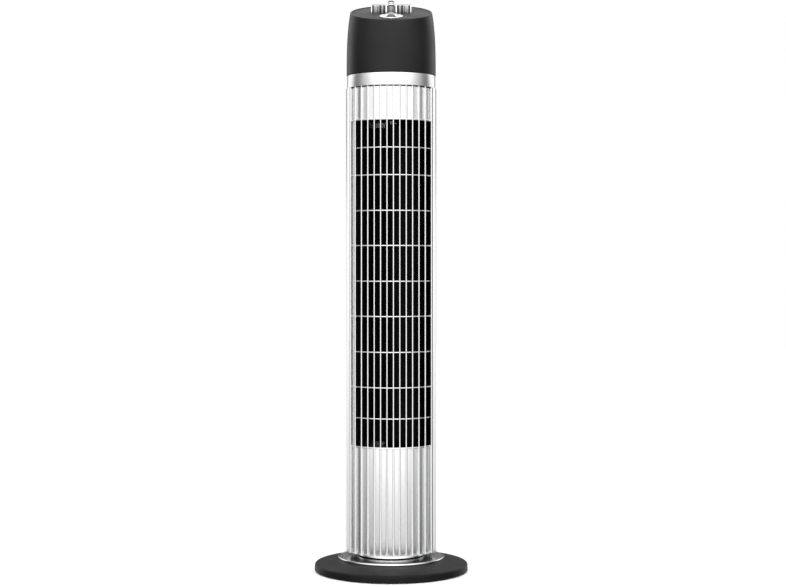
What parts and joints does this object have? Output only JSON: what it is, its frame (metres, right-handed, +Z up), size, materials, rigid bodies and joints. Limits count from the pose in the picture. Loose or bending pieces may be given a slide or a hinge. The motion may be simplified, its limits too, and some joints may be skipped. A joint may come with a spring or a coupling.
{
  "type": "tower fan",
  "caption": "Slim cylindrical tower fan: round foot, swinging body with a finned front outlet and slotted back, sloped black head with timer dial, speed keys and oscillation knob.",
  "frame": {"origin": "centre of the foot, on the floor, on the axis about which the tower swings", "axes": "+Z up; the air outlet, the dial and the low side of the control panel face -Y; +X to the right seen from in front"},
  "size_m": [0.2008, 0.2008, 0.7498],
  "materials": {
    "base_black": "fine moulded grain, satin black",
    "silver": "silver painted plastic, satin sheen",
    "chrome": "chrome plated plastic",
    "rubber": "matte",
    "chassis": "plain moulded grey",
    "black_inner": "plain moulded black",
    "steel": "plain",
    "bronze": "sintered",
    "copper": "enamelled winding",
    "acetal": "white"
  },
  "bodies": {
    "base": {"base_plate": "base_black", "base_trim_ring": "chrome", "rubber_foot_1": "rubber", "rubber_foot_2": "rubber", "rubber_foot_3": "rubber", "rubber_foot_4": "rubber", "pivot_tube": "chassis", "pivot_screw_1": "steel", "pivot_screw_2": "steel", "pivot_screw_3": "steel", "thrust_washer": "acetal", "pivot_lock_ring": "chassis", "oscillation_slot_arm": "steel"},
    "tower": {"neck_ring": "chrome", "bottom_plate": "black_inner", "front_housing": "silver", "rear_housing": "silver", "handle_cup": "base_black", "rear_screw_1": "steel", "rear_screw_2": "steel", "rear_screw_3": "steel", "rear_screw_4": "steel", "cord_grommet": "rubber", "collar_band": "silver", "head_mount_ring": "black_inner", "head_shell": "base_black", "control_panel": "base_black", "motor_plate": "chassis", "motor_upper_bell": "steel", "motor_lower_bell": "steel", "stator_core": "steel", "stator_coil_upper": "copper", "stator_coil_lower": "copper", "motor_upper_bush": "bronze", "motor_lower_bush": "bronze", "upper_bulkhead": "chassis", "bearing_rubber": "rubber", "wheel_top_bush": "bronze", "duct_scroll": "black_inner", "vortex_tongue": "black_inner", "run_capacitor": "chassis", "terminal_block": "acetal", "oscillation_motor": "steel", "key_switch": "chassis", "oscillation_switch": "black_inner", "timer_mechanism": "chassis"},
    "wheel": {"air_wheel": "black_inner", "motor_rotor": "steel", "motor_shaft": "steel", "wheel_top_pin": "steel"},
    "dial": {"timer_dial": "chrome"},
    "key_0": {"speed_key_0": "chrome"},
    "key_1": {"speed_key_1": "chrome"},
    "key_2": {"speed_key_2": "chrome"},
    "key_3": {"speed_key_3": "chrome"},
    "knob": {"oscillation_knob": "chrome"},
    "crank": {"oscillation_crank": "steel"}
  },
  "joints": [
    {"name": "tower_swing", "type": "hinge", "parent": "base", "child": "tower", "pos_m": [0, 0, 0.0194], "axis": [0, 0, 1], "range_deg": [-35, 35]},
    {"name": "wheel_spin", "type": "hinge", "parent": "tower", "child": "wheel", "pos_m": [0, 0.003, 0.376], "axis": [0, 0, 1], "continuous": true},
    {"name": "timer_turn", "type": "hinge", "parent": "tower", "child": "dial", "pos_m": [0, -0.03239, 0.72346], "axis": [0, -0.304, 0.9527], "range_deg": [-285, 45]},
    {"name": "key_0_press", "type": "slide", "parent": "tower", "child": "key_0", "axis": [0, 0.304, -0.9527], "range_m": [0, 0.0035], "stiffness_N_per_m": 600, "springref_m": -0.002},
    {"name": "key_1_press", "type": "slide", "parent": "tower", "child": "key_1", "axis": [0, 0.304, -0.9527], "range_m": [0, 0.0035], "stiffness_N_per_m": 600, "springref_m": -0.002},
    {"name": "key_2_press", "type": "slide", "parent": "tower", "child": "key_2", "axis": [0, 0.304, -0.9527], "range_m": [0, 0.0035], "stiffness_N_per_m": 600, "springref_m": -0.002},
    {"name": "key_3_press", "type": "slide", "parent": "tower", "child": "key_3", "axis": [0, 0.304, -0.9527], "range_m": [0, 0.0035], "stiffness_N_per_m": 600, "springref_m": -0.002},
    {"name": "knob_push", "type": "slide", "parent": "tower", "child": "knob", "axis": [0, 0.304, -0.9527], "range_m": [0, 0.005]},
    {"name": "crank_turn", "type": "hinge", "parent": "tower", "child": "crank", "pos_m": [0, 0.028, 0.0448], "axis": [0, 0, 1], "range_deg": [-125, 125]}
  ],
  "couplings": [
    {"joint": "crank_turn", "follows": "tower_swing", "ratio": -3.57}
  ]
}
